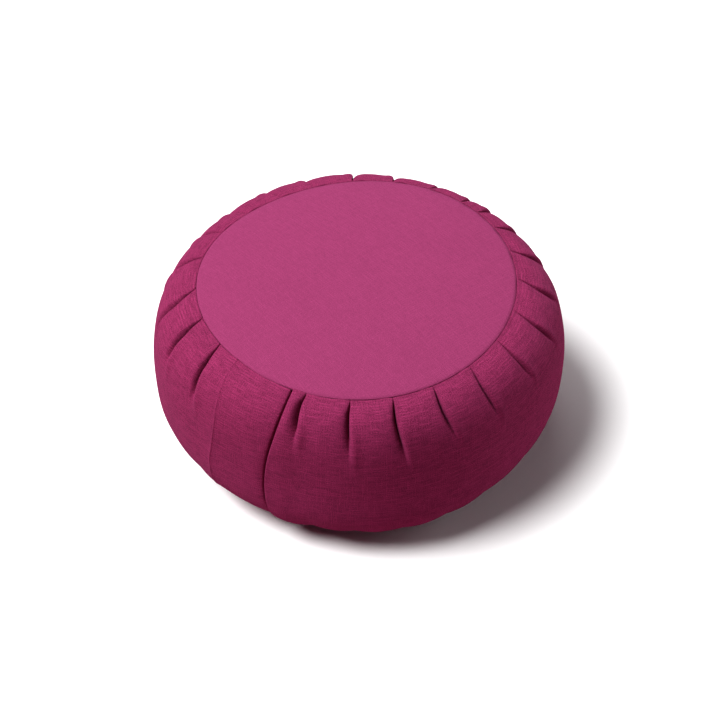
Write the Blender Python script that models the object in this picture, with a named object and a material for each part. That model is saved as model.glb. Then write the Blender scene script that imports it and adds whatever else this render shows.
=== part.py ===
"""Zafu meditation cushion: a round floor cushion with a pleated band.

A long strip of cloth is pleated into a round top panel and a round bottom panel and
filled until it stands firm. The strip's ends lap at the front left, where one folded
edge lies over the other end. All sizes are in metres, +Z is up, and the cushion stands
on its bottom panel with its front towards -Y.
"""
import math

import bmesh
import bpy
import numpy as np

# Overall form
WAIST_RADIUS = 0.165
WAIST_HEIGHT = 0.068
HEIGHT = 0.166

# Top seam, shoulder of the band above the waist
TOP_SEAM_RADIUS = 0.129
TOP_SEAM_HEIGHT = 0.154
SHOULDER_WIDTH = 0.064
SHOULDER_FULLNESS = 3.2

# Bottom seam, belly of the band below the waist
FOOT_SEAM_RADIUS = 0.126
FOOT_SEAM_HEIGHT = 0.0075
BELLY_WIDTH = 0.1195
BELLY_FULLNESS = 2.8

# Cloth panels and the play between the pieces
CLOTH = 0.002
FACE_PLAY = 0.0004
EDGE_PLAY = 0.0006
FLAT_FOOT_RADIUS = 0.100
FOOT_RISE_POWER = 1.6

# Seam roll: how far both cloth edges dip into the seam, and over what width
SEAM_DIP = 0.0014
SEAM_DIP_WIDTH = 0.0025
PANEL_BRINK = 0.0020
PANEL_DIP = 0.0008

# Uneven outline: lobes around the ring, share of the radius, turn in degrees
WAIST_WAVES = (
    (2, 0.015, -21.0),
    (3, 0.011, -35.0),
    (4, 0.020, 34.0),
)
SEAM_WAVES = (
    (2, 0.015, 100.0),
    (3, 0.016, 144.0),
    (4, 0.005, -34.0),
)

# Pleats, counterclockwise from the closing edge: place along the top seam and turn on
# the way down in degrees, length from the top seam, place along the bottom seam in
# degrees, length from the bottom seam
PLEAT_FIELDS = ("top", "lean", "length", "foot", "foot_length")
PLEATS = (
    (-107.3, -0.4, 0.045, -104.0, 0.036),
    (-92.5, -0.8, 0.052, -91.0, 0.038),
    (-78.6, 1.4, 0.056, -78.0, 0.036),
    (-64.4, 1.8, 0.046, -65.5, 0.040),
    (-49.3, 1.2, 0.048, -53.2, 0.043),
    (-33.3, 0.3, 0.038, -39.8, 0.042),
    (-15.9, 0.2, 0.046, -28.0, 0.045),
    (0.3, -1.5, 0.042, -14.8, 0.044),
    (16.1, -2.6, 0.040, 1.5, 0.038),
    (30.7, -1.2, 0.038, 18.0, 0.036),
    (40.7, 0.4, 0.034, 33.5, 0.040),
    (49.0, 0.6, 0.040, 50.0, 0.037),
    (62.9, -0.8, 0.044, 66.0, 0.036),
    (76.9, 1.0, 0.038, 80.5, 0.041),
    (92.6, -0.6, 0.046, 94.0, 0.038),
    (107.8, 0.9, 0.042, 108.5, 0.035),
    (122.1, 1.2, 0.036, 123.5, 0.038),
    (137.3, 2.4, 0.038, 138.0, 0.040),
    (152.8, 2.2, 0.040, 154.0, 0.036),
    (167.2, 0.6, 0.044, 169.5, 0.039),
    (183.8, 3.4, 0.044, 185.0, 0.041),
    (199.2, 3.0, 0.042, 201.5, 0.036),
    (214.3, 2.8, 0.050, 216.0, 0.038),
)
PLEAT_DEPTH = 0.0075
FOOT_PLEAT_DEPTH = 0.006
CREASE_WIDTH = 0.0016

# Shares of a pleat's length: the crease is shallow at the seam, full, then fades out
DEPTH_AT_SEAM = 0.25
CREASE_FULL_AT = 0.25
CREASE_FADES_FROM = 0.35
RIDGE_FULL_AT = 0.60
RIDGE_FADES_FROM = 0.75
RIDGE_FADE_RUN = 0.60

# Beside a crease: the soft slope on one side, the ridge on the other, the swell between
PLEAT_SLOPE_WIDTH = 0.0075
PLEAT_SLOPE_SHARE = 0.30
RIDGE_HEIGHT = 0.0013
RIDGE_OFFSET = 0.0042
RIDGE_WIDTH = 0.0038
PANEL_SWELL = 0.0016
SWELL_FULL_WITHIN = 0.020
SWELL_FADE = 0.050

# Closing edge at the front left: the upper layer's folded edge and the groove beside it
CLOSING_ANGLE = -112.3
CLOSING_SWAY = -5.2
CLOSING_SWAY_LENGTH = 0.105
LAP_HEIGHT = 0.0018
LAP_SLOPE = 0.030
LAP_EDGE_WIDTH = 0.0008
LAP_GROOVE = 0.0014
LAP_GROOVE_WIDTH = 0.0022

# Hem of the lower layer, a faint ridge under the flat stretch
HEM_ANGLE = -135.5
HEM_SWAY = 2.4
HEM_SWAY_LENGTH = 0.10
HEM_HEIGHT = 0.0007
HEM_WIDTH = 0.0028

# How finely the solids are divided
SECTION_POINTS = 200
SECTION_STEP = 0.0004
BAY_SHARES = (0.0, 0.05, 0.19, 0.50, 0.80, 0.93)
BAND_ROWS = (0.0, 0.008, 0.022, 0.044, 0.072, 0.105, 0.145, 0.19, 0.24, 0.30, 0.37, 0.45,
             0.54, 0.62, 0.69, 0.75, 0.81, 0.86, 0.905, 0.94, 0.965, 0.985, 1.0)
PANEL_COLUMNS = 90
SHARP_EDGE = math.radians(50.0)
TOP_PANEL_RINGS = (0.30, 0.60, 0.85)
FOOT_PANEL_RINGS = (0.45, FLAT_FOOT_RADIUS / FOOT_SEAM_RADIUS, 0.90)

# Cloth colours and finish
BAND_COLOUR = (0.37, 0.030, 0.135, 1.0)
PANEL_COLOUR = (0.41, 0.036, 0.155, 1.0)
CLOTH_ROUGHNESS = 0.88


def smooth(share):
    """Ease from 0 to 1."""
    share = np.clip(share, 0.0, 1.0)
    return share * share * (3.0 - 2.0 * share)


def wave(angle, waves):
    """Uneven outline: the radius factor at an angle in radians."""
    factor = 1.0
    for lobes, share, turn in waves:
        factor = factor + share * np.cos(lobes * angle - math.radians(turn))
    return factor


def quarter(width, fullness, seam_radius, rise):
    """Full, rounded quarter of the band's section, from the seam to the waist."""
    reach = (seam_radius - (WAIST_RADIUS - width)) / width
    tall = rise / (1.0 - reach ** fullness) ** (1.0 / fullness)
    first = math.acos(reach ** (fullness / 2.0))
    turn = np.linspace(first, 0.0, SECTION_POINTS)
    radius = WAIST_RADIUS - width + width * np.cos(turn) ** (2.0 / fullness)
    height = tall * np.sin(turn) ** (2.0 / fullness)
    return radius, height


def band_section():
    """Section of the band, top seam to bottom seam: distance, radius and height."""
    top_radius, top_rise = quarter(
        SHOULDER_WIDTH, SHOULDER_FULLNESS, TOP_SEAM_RADIUS, TOP_SEAM_HEIGHT - WAIST_HEIGHT)
    foot_radius, foot_drop = quarter(
        BELLY_WIDTH, BELLY_FULLNESS, FOOT_SEAM_RADIUS, WAIST_HEIGHT - FOOT_SEAM_HEIGHT)
    radius = np.concatenate([top_radius, foot_radius[::-1][1:]])
    height = np.concatenate([WAIST_HEIGHT + top_rise, WAIST_HEIGHT - foot_drop[::-1][1:]])
    steps = np.hypot(np.diff(radius), np.diff(height))
    return np.concatenate([[0.0], np.cumsum(steps)]), radius, height


SECTION_DISTANCE, SECTION_RADIUS, SECTION_HEIGHT = band_section()
BAND_DEPTH = float(SECTION_DISTANCE[-1])


def closing_line(down):
    """Angle in degrees of the closing edge at a distance down from the top seam."""
    return CLOSING_ANGLE + CLOSING_SWAY * math.sin(0.5 * math.pi * down / CLOSING_SWAY_LENGTH) ** 2


def hem_line(down):
    """Angle in degrees of the lower layer's hem at a distance down from the top seam."""
    return HEM_ANGLE + HEM_SWAY * math.sin(math.pi * min(down / HEM_SWAY_LENGTH, 1.0))


def pleat_line(pleat, down):
    """Angle in degrees of one pleat's line, from its top place to its bottom place."""
    upper = pleat["top"] + pleat["lean"] * min(down / pleat["length"], 1.0)
    share = smooth((down - pleat["length"]) / (BAND_DEPTH - pleat["length"] - pleat["foot_length"]))
    return upper + (pleat["foot"] - upper) * float(share)


def draw_in(across, along, length, depth):
    """Depth of a pleat: a narrow crease, steep on one side, that dies out along its length."""
    share = along / length
    opening = DEPTH_AT_SEAM + (1.0 - DEPTH_AT_SEAM) * smooth(share / CREASE_FULL_AT)
    fading = 1.0 - smooth((share - CREASE_FADES_FROM) / (1.0 - CREASE_FADES_FROM))
    crease = depth * opening * fading
    narrow = np.exp(-(across / CREASE_WIDTH) ** 2)
    slope = np.where(across < 0.0, np.exp(-(across / PLEAT_SLOPE_WIDTH) ** 2), narrow)
    drawn = crease * ((1.0 - PLEAT_SLOPE_SHARE) * narrow + PLEAT_SLOPE_SHARE * slope)
    ridge_run = smooth(share / RIDGE_FULL_AT) * (1.0 - smooth((share - RIDGE_FADES_FROM) / RIDGE_FADE_RUN))
    ridge = RIDGE_HEIGHT * ridge_run * np.exp(-((across - RIDGE_OFFSET) / RIDGE_WIDTH) ** 2)
    return ridge - drawn


def lap(across):
    """Step of the closing edge: a groove, the folded edge, and the layer sinking back."""
    groove = -LAP_GROOVE * np.exp(-(across / LAP_GROOVE_WIDTH) ** 2)
    layer = LAP_HEIGHT * smooth(across / LAP_EDGE_WIDTH) * (1.0 - smooth(across / LAP_SLOPE))
    return np.where(across > 0.0, layer + groove * np.exp(-across / LAP_EDGE_WIDTH), groove)


PLEAT_ROWS = [dict(zip(PLEAT_FIELDS, row)) for row in PLEATS]


def surface_lines(down):
    """Angles in radians of all lines that the columns follow, counterclockwise."""
    degrees = [hem_line(down), closing_line(down)]
    degrees += [pleat_line(pleat, down) for pleat in PLEAT_ROWS]
    return np.radians(degrees)


def column_angles(down):
    """Angles of all columns at one distance down: fixed shares of each bay."""
    lines = surface_lines(down)
    following = np.append(lines[1:], lines[0] + 2.0 * math.pi)
    shares = np.array(BAY_SHARES)
    return (lines[:, None] + (following - lines)[:, None] * shares).ravel()


def relief(angles, down, radius):
    """How far the band stands off its plain section, along the section's normal."""
    lines = surface_lines(down)
    following = np.append(lines[1:], lines[0] + 2.0 * math.pi)
    up = BAND_DEPTH - down
    across = (np.mod(angles - lines[:, None] + math.pi, 2.0 * math.pi) - math.pi) * radius
    off = HEM_HEIGHT * np.exp(-(across[0] / HEM_WIDTH) ** 2) + lap(across[1])
    for pleat, beside in zip(PLEAT_ROWS, across[2:]):
        off += draw_in(beside, down, pleat["length"], PLEAT_DEPTH)
        off += draw_in(beside, up, pleat["foot_length"], FOOT_PLEAT_DEPTH)
    bay = np.mod(angles[:, None] - lines, 2.0 * math.pi) / (following - lines)
    inside = np.where(bay < 1.0, bay, 0.0).max(axis=1)
    to_seam = min(down, up)
    swell = PANEL_SWELL * (1.0 - smooth((to_seam - SWELL_FULL_WITHIN) / SWELL_FADE))
    off += swell * np.sin(math.pi * inside)
    return off - SEAM_DIP * math.exp(-(to_seam / SEAM_DIP_WIDTH) ** 2)


def ring_factor(angles, share_down):
    """Uneven outline at a share of the way down: the seam's waves at both seams."""
    to_waist = math.sin(math.pi * share_down)
    return wave(angles, SEAM_WAVES) * (1.0 - to_waist) + wave(angles, WAIST_WAVES) * to_waist


def ring(angles, radii, heights):
    """Points of one ring."""
    return [(float(r * math.cos(a)), float(r * math.sin(a)), float(z))
            for a, r, z in zip(angles, np.broadcast_to(radii, angles.shape),
                               np.broadcast_to(heights, angles.shape))]


def band_ring(share_down):
    """One ring of the band's outer face."""
    down = share_down * BAND_DEPTH
    radius = float(np.interp(down, SECTION_DISTANCE, SECTION_RADIUS))
    height = float(np.interp(down, SECTION_DISTANCE, SECTION_HEIGHT))
    ends = [max(down - SECTION_STEP, 0.0), min(down + SECTION_STEP, BAND_DEPTH)]
    outward = float(np.diff(np.interp(ends, SECTION_DISTANCE, SECTION_RADIUS))[0])
    upward = float(np.diff(np.interp(ends, SECTION_DISTANCE, SECTION_HEIGHT))[0])
    length = math.hypot(outward, upward)
    angles = column_angles(down)
    off = relief(angles, down, radius)
    radii = radius * ring_factor(angles, share_down) - off * upward / length
    return ring(angles, radii, height + off * outward / length)


def top_face(share):
    """Height of the crowned top panel at a share of the seam's radius."""
    return TOP_SEAM_HEIGHT + (HEIGHT - TOP_SEAM_HEIGHT) * (1.0 - share ** 2)


def foot_face(share):
    """Height of the bottom panel's lower face: flat, then rising to the seam."""
    flat = FLAT_FOOT_RADIUS / FOOT_SEAM_RADIUS
    return FOOT_SEAM_HEIGHT * max((share - flat) / (1.0 - flat), 0.0) ** FOOT_RISE_POWER


def seat_rings(angles, seam_radius, face, shares, sink):
    """Rings of the recess that a panel lies in, from the middle out to its wall."""
    factor = wave(angles, SEAM_WAVES)
    reach = [*shares, 1.0]
    return [ring(angles, seam_radius * share * factor, face(share) + sink) for share in reach]


def loft(name, rings, first_pole, last_pole):
    """Closed solid: rings joined in order, with a fan of faces at each end."""
    mesh = bpy.data.meshes.new(name)
    shape = bmesh.new()
    rows = [[shape.verts.new(point) for point in points] for points in rings]
    count = len(rows[0])
    for upper, lower in zip(rows, rows[1:]):
        for column in range(count):
            after = (column + 1) % count
            shape.faces.new((upper[column], lower[column], lower[after], upper[after]))
    start = shape.verts.new(first_pole)
    end = shape.verts.new(last_pole)
    for column in range(count):
        after = (column + 1) % count
        shape.faces.new((start, rows[0][column], rows[0][after]))
        shape.faces.new((end, rows[-1][after], rows[-1][column]))
    shape.to_mesh(mesh)
    shape.free()
    mesh.shade_smooth()
    mesh.set_sharp_from_angle(angle=SHARP_EDGE)
    return mesh


def side_band():
    """The filled band: pleated face outside, a shallow recess for each round panel."""
    sink = CLOTH + FACE_PLAY
    top = seat_rings(column_angles(0.0), TOP_SEAM_RADIUS, top_face, TOP_PANEL_RINGS, -sink)
    foot = seat_rings(column_angles(BAND_DEPTH), FOOT_SEAM_RADIUS, foot_face, FOOT_PANEL_RINGS, sink)
    face = [band_ring(share) for share in BAND_ROWS]
    rings = top + face + foot[::-1]
    return loft("side_band", rings, (0.0, 0.0, HEIGHT - sink), (0.0, 0.0, sink))


def panel_rings(seam_radius, face, shares, side):
    """Rings of a round panel: its outer face, the dipping edge and its inner face."""
    angles = np.linspace(0.0, 2.0 * math.pi, PANEL_COLUMNS, endpoint=False)
    factor = wave(angles, SEAM_WAVES)
    edge = 1.0 - EDGE_PLAY / seam_radius
    brink = edge - PANEL_BRINK / seam_radius
    reach = [*shares, brink]
    outer = [ring(angles, seam_radius * share * factor, face(share)) for share in reach]
    dipped = ring(angles, seam_radius * edge * factor, face(edge) - side * PANEL_DIP)
    under = ring(angles, seam_radius * edge * factor, face(edge) - side * CLOTH)
    inner = [ring(angles, seam_radius * share * factor, face(share) - side * CLOTH)
             for share in shares[::-1]]
    return outer + [dipped, under] + inner


def top_panel():
    """Round top panel, crowned by the filling."""
    rings = panel_rings(TOP_SEAM_RADIUS, top_face, TOP_PANEL_RINGS, 1.0)
    return loft("top_panel", rings, (0.0, 0.0, HEIGHT), (0.0, 0.0, HEIGHT - CLOTH))


def bottom_panel():
    """Round bottom panel, flat where the cushion stands on it."""
    rings = panel_rings(FOOT_SEAM_RADIUS, foot_face, FOOT_PANEL_RINGS, -1.0)
    return loft("bottom_panel", rings[::-1], (0.0, 0.0, CLOTH), (0.0, 0.0, 0.0))


def cloth_material(name, colour):
    """Matt dyed cotton."""
    material = bpy.data.materials.new(name)
    material.use_nodes = True
    shader = material.node_tree.nodes["Principled BSDF"]
    shader.inputs["Base Color"].default_value = colour
    shader.inputs["Roughness"].default_value = CLOTH_ROUGHNESS
    shader.inputs["Metallic"].default_value = 0.0
    return material


def main():
    for old in list(bpy.data.objects):
        bpy.data.objects.remove(old, do_unlink=True)
    cushion = bpy.data.collections.new("Zafu meditation cushion")
    bpy.context.scene.collection.children.link(cushion)
    pieces = (
        (side_band(), "band cotton", BAND_COLOUR),
        (top_panel(), "top panel cotton", PANEL_COLOUR),
        (bottom_panel(), "bottom panel cotton", BAND_COLOUR),
    )
    points = np.array([vertex.co for mesh, _, _ in pieces for vertex in mesh.vertices])
    middle = 0.5 * (points.min(axis=0) + points.max(axis=0))
    for mesh, finish, colour in pieces:
        mesh.materials.append(cloth_material(finish, colour))
        for vertex in mesh.vertices:
            vertex.co.x -= middle[0]
            vertex.co.y -= middle[1]
        cushion.objects.link(bpy.data.objects.new(mesh.name, mesh))


main()
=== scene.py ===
"""Zafu meditation cushion in magenta slub cotton, dressed over its packed solids.

A long strip of cloth is pleated into a round top panel and a round bottom panel and
filled until it stands firm. Its ends lap at the front left. All sizes are in metres,
+Z is up, and the front of the cushion faces -Y.
"""
import math

import bpy
import numpy as np
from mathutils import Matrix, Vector


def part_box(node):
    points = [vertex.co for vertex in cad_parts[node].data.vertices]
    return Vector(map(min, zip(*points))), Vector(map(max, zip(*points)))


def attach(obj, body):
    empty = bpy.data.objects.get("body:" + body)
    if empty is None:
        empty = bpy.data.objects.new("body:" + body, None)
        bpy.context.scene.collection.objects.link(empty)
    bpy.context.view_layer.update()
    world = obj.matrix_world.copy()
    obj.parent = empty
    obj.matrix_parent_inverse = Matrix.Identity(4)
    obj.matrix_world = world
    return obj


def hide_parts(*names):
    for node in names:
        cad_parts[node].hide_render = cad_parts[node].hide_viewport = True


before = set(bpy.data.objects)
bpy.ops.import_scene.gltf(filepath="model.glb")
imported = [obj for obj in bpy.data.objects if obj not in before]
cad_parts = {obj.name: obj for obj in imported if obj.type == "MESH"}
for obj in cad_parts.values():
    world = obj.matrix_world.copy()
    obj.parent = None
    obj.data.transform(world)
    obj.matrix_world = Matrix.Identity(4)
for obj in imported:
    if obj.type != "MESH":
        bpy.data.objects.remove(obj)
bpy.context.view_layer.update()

bl_info = {
    "name": "Zafu meditation cushion",
    "version": (1, 0, 0),
    "blender": (4, 5, 0),
    "location": "3D View > Sidebar > Zafu",
    "description": "Round pleated floor cushion in slub cotton, with its studio stage",
    "category": "Add Mesh",
}

BODY = "root"

# Uneven outline: lobes around the ring, share of the radius, turn in degrees
WAIST_WAVES = (
    (1, 0.0067, 132.6),
    (2, 0.0202, -39.9),
    (3, 0.0189, -37.1),
    (4, 0.0236, 42.4),
    (5, 0.0025, -156.2),
)
SEAM_WAVES = (
    (2, 0.015, 100.0),
    (3, 0.016, 144.0),
    (4, 0.005, -34.0),
)

# Pleats, counterclockwise from the closing edge: place along the top seam, turn within
# the first stretch and bend after it in degrees, length from the top seam, place along the
# bottom seam in degrees, length from the bottom seam, share of the full depth, share of the
# full width, how steep the soft side is
PLEAT_FIELDS = ("top", "lean", "bend", "length", "foot", "foot_length", "depth", "width", "hollow")
PLEATS = (
    (-107.2, -0.5, -0.4, 0.045, -104.0, 0.036, 0.88, 1.05, 1.20),
    (-92.7, 0.0, 0.2, 0.053, -91.0, 0.038, 0.80, 0.80, 1.05),
    (-78.8, 0.0, 1.3, 0.060, -77.0, 0.034, 0.82, 0.66, 1.00),
    (-64.6, 0.2, 2.4, 0.049, -63.0, 0.040, 0.66, 0.44, 1.00),
    (-48.8, -0.5, 1.7, 0.051, -49.5, 0.043, 0.60, 0.36, 1.00),
    (-32.5, -0.4, 1.9, 0.045, -33.0, 0.042, 0.46, 0.30, 1.00),
    (-15.5, -1.4, 2.0, 0.046, -20.0, 0.045, 0.56, 0.36, 1.00),
    (1.6, -2.4, 1.5, 0.042, -4.0, 0.044, 0.58, 0.40, 1.00),
    (16.8, -1.8, 1.0, 0.040, 11.0, 0.038, 0.56, 0.45, 1.00),
    (30.7, -1.0, 0.0, 0.038, 23.0, 0.036, 0.48, 0.50, 1.00),
    (40.7, 0.4, 0.0, 0.034, 35.5, 0.040, 0.42, 0.55, 1.00),
    (49.0, 0.6, 0.0, 0.040, 50.0, 0.037, 0.40, 0.60, 1.00),
    (62.9, -0.8, 0.0, 0.044, 66.0, 0.036, 0.36, 0.70, 1.00),
    (76.9, 1.0, 0.0, 0.038, 80.5, 0.041, 0.34, 0.80, 1.00),
    (92.6, -0.6, 0.0, 0.046, 94.0, 0.038, 0.38, 0.80, 1.00),
    (107.8, 0.9, 0.0, 0.042, 108.5, 0.035, 0.36, 0.80, 1.00),
    (122.1, 1.2, 0.0, 0.036, 123.5, 0.038, 0.46, 0.70, 1.00),
    (137.3, 2.4, 0.0, 0.038, 139.0, 0.040, 0.58, 0.70, 1.00),
    (151.8, 2.0, 0.0, 0.042, 154.5, 0.036, 1.00, 1.10, 3.00),
    (166.8, 3.1, 0.0, 0.048, 170.0, 0.039, 1.45, 1.45, 3.50),
    (183.6, 5.2, -0.4, 0.058, 187.0, 0.041, 1.50, 1.60, 4.00),
    (199.2, 2.9, 0.0, 0.050, 202.5, 0.036, 1.45, 1.25, 4.00),
    (213.9, 2.8, 0.5, 0.056, 217.0, 0.038, 1.50, 1.15, 3.50),
)
PLEAT_ROWS = [dict(zip(PLEAT_FIELDS, row)) for row in PLEATS]

# Distances below the top seam over which a pleat turns and bends, and the bend's power
LEAN_LENGTH = 0.022
BEND_START = 0.018
BEND_LENGTH = 0.030
BEND_POWER = 1.5

# Lines of the closing edge and of the lower layer's hem: place and sway in degrees, and the
# distance over which each sways
CLOSING_ANGLE = -112.3
CLOSING_SWAY = -5.2
CLOSING_SWAY_LENGTH = 0.105
HEM_ANGLE = -135.7
HEM_SWAY = 2.4
HEM_SWAY_LENGTH = 0.10

# Section of the band and of the panels
SECTION_POINTS = 200
SLOPE_STEP = 0.0004
SHOULDER_FULLNESS = 3.2
BELLY_FULLNESS = 2.8
CROWN_FULLNESS = 2.4
FLAT_FOOT_RADIUS = 0.100
FOOT_RISE_POWER = 1.6

# Play under a panel, then how far inside the seam's line its edge and its recess' wall lie.
# The last is the packed panel's edge, which places the cushion over its solids
FACE_PLAY = 0.0004
EDGE_PLAY = 0.00010
WALL_PLAY = 0.00005
SOLID_EDGE_PLAY = 0.0006

# Ramps from 0 to 1, each with its start and its run: along a pleat, in shares of its length
OPENS = (0.0, 0.24)
EDGE_WIDENS = (0.0, 0.75)
SLOPE_WIDENS = (0.0, 0.42)
RIDGE_RISES = (0.15, 0.45)
RIDGE_SINKS = (0.80, 0.50)
UNDERLAY_FADES = (0.0, 0.70)
# ... across a line of sewing, in metres counterclockwise from it
OVERHANG_RISES = (0.0, 0.0011)
OVERHANG_SINKS = (0.0016, 0.0065)
UNDERLAY_STARTS = (-0.0115, 0.0015)
UNDERLAY_ENDS = (-0.0045, 0.0030)
LAP_RISES = (0.0002, 0.0010)
LAP_SINKS = (0.0, 0.032)
# ... and away from a seam, in metres
HEM_RISES = (0.020, 0.035)
SWELL_RISES = (0.0, 0.012)
SWELL_SINKS = (0.020, 0.050)
LUMPS_RISE = (0.0, 0.030)
WEAVE_GATHERS = (0.012, 0.040)

# A crease: how open it is at the seam, the share of its length that stays open on a narrow
# and on a full one with what a wider one adds, how its edge and slope widen on the way down
SEAM_OPENING = 0.10
OPEN_SHARES = (0.62, 0.36)
WIDE_OPEN_SHARE = 0.10
EDGE_WIDTHS = (0.45, 1.30)
SLOPE_WIDTHS = (0.16, 1.0)
WALL_POWER = 2.4
RIDGE_PLACE = 1.3
LEAST_OVERHANG = 0.55

# Groove under the closing edge: a narrow and a wide part, and its wall below the fold
GROOVE_SHARES = (0.62, 0.38)
GROOVE_WIDTHS = (0.0010, 0.0026)
GROOVE_WALL = 0.0007

# Hem of the lower layer: reach of its crest on both sides, half width of its line
HEM_WIDTHS = (0.012, 0.019)
HEM_LINE_WIDTH = 0.0009

# Turn into the seams: share left where it faces away, and direction, whole and none
DIP_LEAST = 0.10
DIP_FACING = (-80.0, 45.0, 95.0)
RIM_LEAST = 0.45
RIM_FACING = (8.0, 35.0, 75.0)
RIM_PLACE = 0.0010
RIM_WIDTH = 0.0011

# Lumps of the filling, a sum of waves: how many, lobes of the first one and what each next
# one adds, reach down, fading from wave to wave, range of the sum
LUMP_SEED = 11
LUMP_WAVES = 9
FIRST_LOBES = 3
ADDED_LOBES = 2
LUMP_REACH = 0.19
LUMP_FADE = 0.35
LUMP_RANGE = 2.6
LUMPS = np.random.default_rng(LUMP_SEED).uniform(0.0, 2.0 * math.pi, (LUMP_WAVES, 2))

# How finely the meshes are divided: steps beside a line, even steps between, row steps
NEAR_STEPS = (0.0004, 0.0008, 0.0012, 0.0016, 0.0021, 0.0028, 0.0037, 0.0050, 0.0068)
NEAR_SHARE = 0.42
FAR_COLUMNS = 6
FIRST_ROW_STEP = 0.0003
LARGEST_ROW_STEP = 0.0021
ROW_GROWTH = 1.16

# Inflated cloth: its coarser steps, frames, the most that a point may move, the pressure, how
# far inside the plain form it starts, and the share of a pleat that is held at top and foot
CLOTH_STEPS = (0.0030, 0.0070)
CLOTH_COLUMNS = 5
CLOTH_FIRST_ROW = 0.0020
CLOTH_LARGEST_ROW = 0.0045
CLOTH_FRAMES = 20
CLOTH_CAP = 0.004
CLOTH_PRESSURE = 4.0
CLOTH_START = 0.0010
CLOTH_HOLD = 0.85
CLOTH_FOOT_HOLD = 0.30
CLOTH_SETTINGS = {
    "quality": 5,
    "mass": 0.3,
    "tension_stiffness": 15.0,
    "compression_stiffness": 15.0,
    "shear_stiffness": 5.0,
    "bending_stiffness": 0.5,
    "use_pressure": True,
    "uniform_pressure_force": CLOTH_PRESSURE,
}


# ------------------------------------------------------------------ settings

def length(name, description, value, low=0.0, high=1.0):
    """Length setting in metres."""
    return bpy.props.FloatProperty(
        name=name, description=description, default=value, min=low, max=high,
        precision=5, subtype="DISTANCE", unit="LENGTH")


def share(name, description, value, low=0.0, high=1.0):
    """Plain number setting."""
    return bpy.props.FloatProperty(
        name=name, description=description, default=value, min=low, max=high, subtype="FACTOR")


def angle(name, description, degrees):
    """Angle setting."""
    return bpy.props.FloatProperty(
        name=name, description=description, default=math.radians(degrees),
        subtype="ANGLE", unit="ROTATION")


def colour(name, description, value):
    """Colour setting."""
    return bpy.props.FloatVectorProperty(
        name=name, description=description, default=value, size=3, min=0.0, max=1.0,
        subtype="COLOR")


class ZafuForm(bpy.types.PropertyGroup):
    """Overall sizes of the filled cushion."""
    waist_radius: length("Waist radius", "Radius at the widest ring", 0.1654)
    waist_height: length("Waist height", "Height of the widest ring", 0.068)
    height: length("Height", "Height at the middle of the top panel",
                   float(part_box("top_panel")[1][2]))
    top_seam_radius: length("Top seam radius", "Radius of the seam around the top panel", 0.129)
    top_seam_height: length("Top seam height", "Height of the top seam", 0.154)
    shoulder_width: length("Shoulder width", "Reach of the rounded shoulder inwards", 0.064)
    foot_seam_radius: length("Bottom seam radius", "Radius of the bottom seam", 0.126)
    foot_seam_height: length("Bottom seam height", "Height of the bottom seam", 0.0075)
    belly_width: length("Belly width", "Reach of the rounded belly inwards", 0.1195)
    cloth: length("Cloth", "Thickness of a panel with its seam layers", 0.002)


class ZafuPleats(bpy.types.PropertyGroup):
    """Sizes of the pleats, the lapped closing and the seams."""
    depth: length("Pleat depth", "Depth of a full crease below the top seam", 0.0095)
    foot_depth: length("Bottom pleat depth", "Depth of a crease above the bottom seam", 0.0015)
    edge_width: length("Fold edge width", "Run of the steep side of a crease", 0.0012)
    slope_width: length("Slope width", "Run of the soft side at a crease's lower half", 0.0028)
    ridge: length("Ridge height", "Height of the ridge beside a crease's end", 0.0014)
    ridge_width: length("Ridge width", "Half width of that ridge", 0.0032)
    overhang: length("Overhang", "Reach of a pleat's folded edge over its crease", 0.0013)
    underlay: length("Underlay", "Step of the hidden fold beside a pleat", 0.0005)
    swell: length("Swell", "How far the cloth swells between two pleats", 0.0015)
    lap_height: length("Lap height", "Step of the lapped closing edge", 0.0018)
    lap_groove: length("Lap groove", "Depth of the groove under the closing edge", 0.0046)
    hem_height: length("Hem height", "Height of the lower layer's hem under the cloth", 0.0022)
    hem_line: length("Hem line", "Height of the thin line along the hem", 0.00035)
    seam_dip: length("Seam dip", "How far the band turns down into a seam", 0.0008)
    seam_roll: length("Seam roll", "Width of that turn", 0.0004)
    seam_rim: length("Seam rim", "Rise of the band beside the seam at the right", 0.0005)
    unevenness: length("Unevenness", "Soft lumps of the filling", 0.0007)


class ZafuCloth(bpy.types.PropertyGroup):
    """Colours and weave of the slub cotton; the colours are a lit and a shaded copy of one cloth,
    with light and shade painted in.
    """
    # The band's colour is the cloth's colour made darker and deeper: painted shade, also used on
    # the bottom panel
    band_shaded_colour: colour("Band colour", "Dyed colour of the band", (0.259, 0.0415, 0.114))
    # The panel colour, used on the top panel, is the cloth's colour made paler: its own colour
    # with a painted highlight
    panel_lit_colour: colour("Panel colour", "Dyed colour of the panels", (0.301, 0.0610, 0.152))
    weft_pitch: length("Weft pitch", "Spacing of the threads that run around", 0.00115)
    warp_pitch: length("Warp pitch", "Spacing of the threads that run down", 0.00095)
    band_slub: length("Band slub", "Length of a thick stretch of the band's threads", 0.009)
    panel_slub: length("Panel slub", "Length of a thick stretch of the panels' threads", 0.007)
    band_contrast: share("Band contrast", "How much the band's threads differ in tone", 0.56)
    panel_contrast: share("Panel contrast", "How much the panels' threads differ in tone", 0.23)
    thread_height: length("Thread height", "Relief of the weave", 0.00020)
    sheen: share("Sheen", "Pale fuzz of the cotton at grazing angles", 0.05)
    roughness: share("Roughness", "Roughness of the matt cloth", 0.88)


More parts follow.
